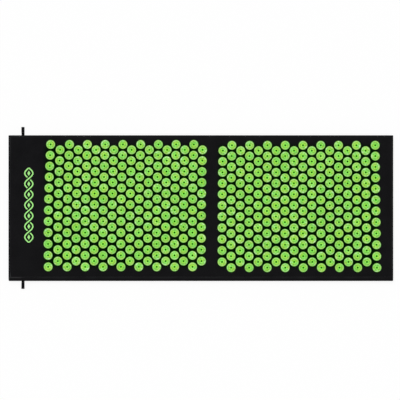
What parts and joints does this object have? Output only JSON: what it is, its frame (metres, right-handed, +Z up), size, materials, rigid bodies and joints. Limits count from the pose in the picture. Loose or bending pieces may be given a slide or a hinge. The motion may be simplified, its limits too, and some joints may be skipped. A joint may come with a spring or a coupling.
{
  "type": "acupressure mat",
  "caption": "Long foam mat in a black cloth cover that folds in half, its top set with columns of green spiked plastic discs, with a strap loop on each long edge and a zip in one end.",
  "frame": {"origin": "on the floor under the middle of the mat's outline, on the underside cloth", "axes": "+X along the mat, from the end with the strap loops and the zip to the other end; +Y across the mat, towards the far long edge of the picture; +Z up, towards the spikes"},
  "size_m": [1.3008, 0.5486, 0.0288],
  "materials": {
    "cover_cloth": "woven, matt",
    "foam": "open-cell, matt",
    "disc_plastic": "moulded, satin gloss",
    "strap": "woven tape",
    "zip_tape": "woven tape",
    "zip_nylon": "moulded nylon",
    "zip_metal": "black enamel"
  },
  "bodies": {
    "left_half": {"foam_pad_left": "foam", "top_cloth_left": "cover_cloth", "bottom_cloth_left": "cover_cloth", "disc_column_01": "disc_plastic", "disc_column_02": "disc_plastic", "disc_column_03": "disc_plastic", "disc_column_04": "disc_plastic", "disc_column_05": "disc_plastic", "disc_column_06": "disc_plastic", "disc_column_07": "disc_plastic", "disc_column_08": "disc_plastic", "disc_column_09": "disc_plastic", "disc_column_10": "disc_plastic", "disc_column_11": "disc_plastic", "disc_column_12": "disc_plastic", "disc_column_13": "disc_plastic", "disc_column_14": "disc_plastic", "disc_column_15": "disc_plastic", "disc_column_16": "disc_plastic", "disc_column_17": "disc_plastic", "disc_column_18": "disc_plastic", "zip_tape_upper": "zip_tape", "zip_tape_lower": "zip_tape", "zip_coil_upper": "zip_nylon", "zip_coil_lower": "zip_nylon", "zip_stop_far": "zip_metal", "zip_stop_near": "zip_metal"},
    "right_half": {"foam_pad_right": "foam", "top_cloth_right": "cover_cloth", "bottom_cloth_right": "cover_cloth", "disc_column_19": "disc_plastic", "disc_column_20": "disc_plastic", "disc_column_21": "disc_plastic", "disc_column_22": "disc_plastic", "disc_column_23": "disc_plastic", "disc_column_24": "disc_plastic", "disc_column_25": "disc_plastic", "disc_column_26": "disc_plastic", "disc_column_27": "disc_plastic", "disc_column_28": "disc_plastic", "disc_column_29": "disc_plastic", "disc_column_30": "disc_plastic", "disc_column_31": "disc_plastic", "disc_column_32": "disc_plastic", "disc_column_33": "disc_plastic", "disc_column_34": "disc_plastic", "disc_column_35": "disc_plastic", "disc_column_36": "disc_plastic"},
    "far_loop": {"strap_loop_far": "strap"},
    "near_loop": {"strap_loop_near": "strap"},
    "slider": {"zip_slider": "zip_metal"},
    "pull": {"zip_pull": "zip_metal"}
  },
  "joints": [
    {"name": "fold", "type": "hinge", "parent": "left_half", "child": "right_half", "pos_m": [0.037, 0, 0.0293], "axis": [0, -1, 0], "range_deg": [0, 179.9]},
    {"name": "far_loop_hinge", "type": "hinge", "parent": "left_half", "child": "far_loop", "pos_m": [-0.6022, 0.2466, 0.001], "axis": [1, 0, 0], "range_deg": [0, 60]},
    {"name": "near_loop_hinge", "type": "hinge", "parent": "left_half", "child": "near_loop", "pos_m": [-0.6022, -0.2466, 0.001], "axis": [-1, 0, 0], "range_deg": [0, 60]},
    {"name": "zip_slide", "type": "slide", "parent": "left_half", "child": "slider", "axis": [0, -1, 0], "range_m": [0, 0.4264]},
    {"name": "pull_swing", "type": "hinge", "parent": "slider", "child": "pull", "pos_m": [-0.64985, 0.2132, 0.0085], "axis": [0, 0, -1], "range_deg": [0, 180]}
  ]
}
